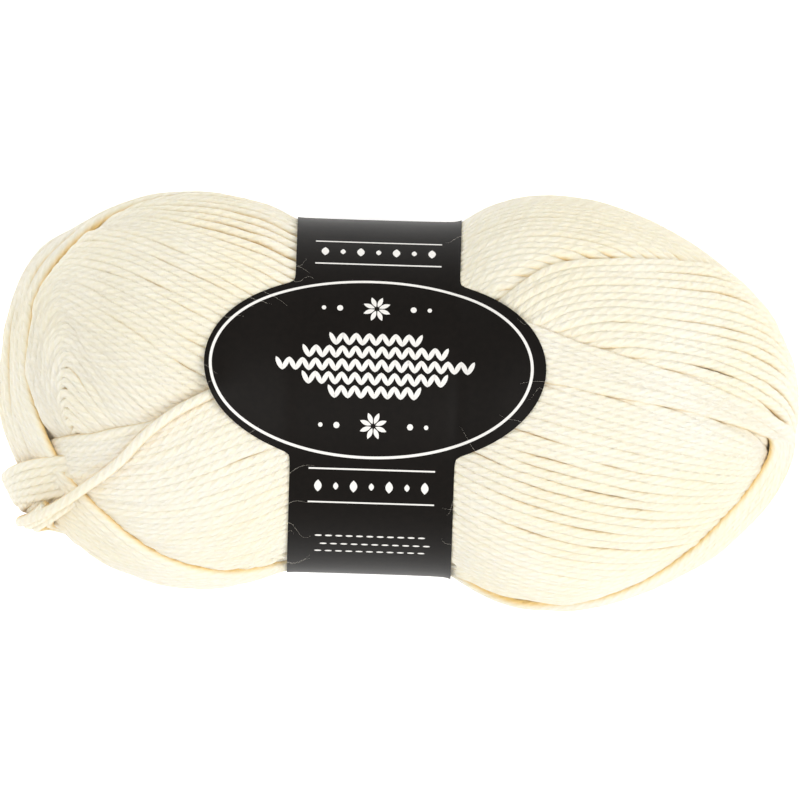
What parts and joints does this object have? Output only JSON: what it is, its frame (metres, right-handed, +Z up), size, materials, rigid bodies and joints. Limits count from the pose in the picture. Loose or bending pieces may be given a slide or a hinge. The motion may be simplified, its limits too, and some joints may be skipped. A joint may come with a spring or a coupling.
{
  "type": "ball of yarn",
  "caption": "Machine-wound pull ball of cream wool lying on its side, pinched at the waist by a die-cut paper band with an oval medallion, its outer end tucked under the band.",
  "frame": {"origin": "middle of the ground that the ball covers, on the surface it lies on", "axes": "+X along the ball from the lobe with the loose end to the other, +Y across it, +Z up out of the medallion's face"},
  "size_m": [0.1398, 0.0725, 0.0646],
  "materials": {
    "wool": "soft matte plied wool, undyed cream",
    "card": "warm black coated paper, satin, with a white cut edge and white print"
  },
  "bodies": {
    "root": {"wound_ball": "wool", "paper_band": "card", "loose_end": "wool"}
  },
  "joints": []
}
